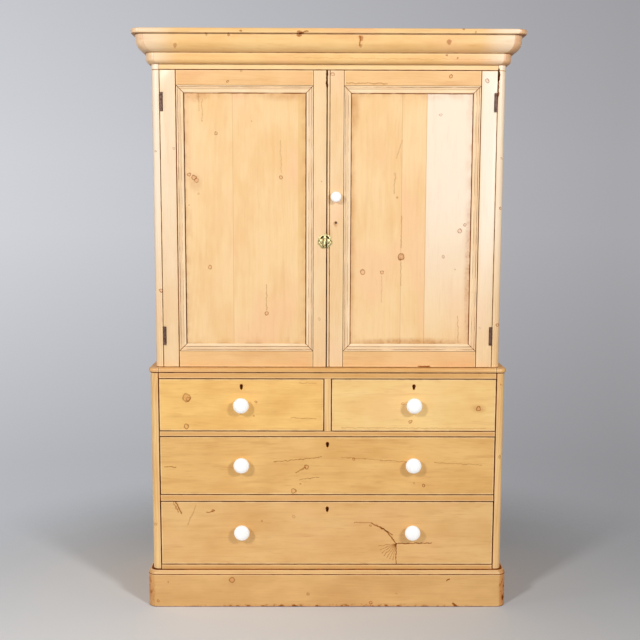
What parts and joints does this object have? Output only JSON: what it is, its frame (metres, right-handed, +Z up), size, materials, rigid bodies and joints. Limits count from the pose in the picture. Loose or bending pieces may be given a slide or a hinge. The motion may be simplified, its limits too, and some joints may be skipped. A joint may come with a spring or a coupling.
{
  "type": "linen press",
  "caption": "Pine linen press: panelled double-door cupboard under a moulded cornice, standing on a wider chest of drawers with a plinth.",
  "frame": {"origin": "middle of the foot of the bounding box, on the floor under the press", "axes": "+Z up, -Y towards the person who opens the doors, +X to that person's right"},
  "size_m": [1.335, 0.54, 2.0255],
  "materials": {
    "pine": "waxed satin honey pine",
    "panel_pine": "waxed satin pale pine",
    "inside_pine": "bare aged pine",
    "white_ceramic": "glossy glaze",
    "brass": "aged cast brass",
    "iron": "dull browned iron"
  },
  "bodies": {
    "case": {"lower_side_left": "pine", "lower_side_right": "pine", "plinth": "pine", "chest_bottom": "pine", "lower_drawer_frame": "pine", "upper_drawer_frame": "pine", "drawer_divider": "pine", "chest_top_rail": "pine", "waist_board": "pine", "lower_back": "inside_pine", "upper_side_left": "pine", "upper_side_right": "pine", "frieze_rail": "pine", "upper_top": "inside_pine", "upper_bottom": "inside_pine", "shelf_1": "inside_pine", "shelf_2": "inside_pine", "upper_back": "inside_pine", "bed_moulding": "pine", "cornice_moulding": "pine", "cornice_cap": "pine", "left_lower_hinge_case_leaf": "iron", "left_upper_hinge_case_leaf": "iron", "right_lower_hinge_case_leaf": "iron", "right_upper_hinge_case_leaf": "iron"},
    "left_door": {"left_door_hinge_stile": "pine", "left_door_meeting_stile": "pine", "left_door_top_rail": "pine", "left_door_bottom_rail": "pine", "left_door_panel": "panel_pine", "left_door_moulding": "pine", "left_lower_hinge_door_leaf": "iron", "left_upper_hinge_door_leaf": "iron", "catch_plate": "brass"},
    "right_door": {"right_door_hinge_stile": "pine", "right_door_meeting_stile": "pine", "right_door_top_rail": "pine", "right_door_bottom_rail": "pine", "right_door_panel": "panel_pine", "right_door_moulding": "pine", "right_lower_hinge_door_leaf": "iron", "right_upper_hinge_door_leaf": "iron", "door_knob": "white_ceramic", "door_lock": "iron", "catch_keeper": "brass"},
    "catch_drop": {"catch_drop": "brass"},
    "bottom_drawer": {"bottom_drawer_front": "pine", "bottom_drawer_box": "inside_pine", "bottom_drawer_knob_1": "white_ceramic", "bottom_drawer_knob_2": "white_ceramic"},
    "middle_drawer": {"middle_drawer_front": "pine", "middle_drawer_box": "inside_pine", "middle_drawer_knob_1": "white_ceramic", "middle_drawer_knob_2": "white_ceramic"},
    "top_left_drawer": {"top_left_drawer_front": "pine", "top_left_drawer_box": "inside_pine", "top_left_drawer_knob": "white_ceramic"},
    "top_right_drawer": {"top_right_drawer_front": "pine", "top_right_drawer_box": "inside_pine", "top_right_drawer_knob": "white_ceramic"}
  },
  "joints": [
    {"name": "left_door_swing", "type": "hinge", "parent": "case", "child": "left_door", "pos_m": [-0.574, -0.2115, 1.38], "axis": [0, 0, -1], "range_deg": [0, 170]},
    {"name": "right_door_swing", "type": "hinge", "parent": "case", "child": "right_door", "pos_m": [0.574, -0.2115, 1.38], "axis": [0, 0, 1], "range_deg": [0, 170]},
    {"name": "catch_drop_swing", "type": "hinge", "parent": "left_door", "child": "catch_drop", "pos_m": [-0.0132, -0.2184, 1.323], "axis": [-1, 0, 0], "range_deg": [0, 85]},
    {"name": "bottom_drawer_slide", "type": "slide", "parent": "case", "child": "bottom_drawer", "axis": [0, -1, 0], "range_m": [0, 0.38]},
    {"name": "middle_drawer_slide", "type": "slide", "parent": "case", "child": "middle_drawer", "axis": [0, -1, 0], "range_m": [0, 0.38]},
    {"name": "top_left_drawer_slide", "type": "slide", "parent": "case", "child": "top_left_drawer", "axis": [0, -1, 0], "range_m": [0, 0.38]},
    {"name": "top_right_drawer_slide", "type": "slide", "parent": "case", "child": "top_right_drawer", "axis": [0, -1, 0], "range_m": [0, 0.38]}
  ]
}
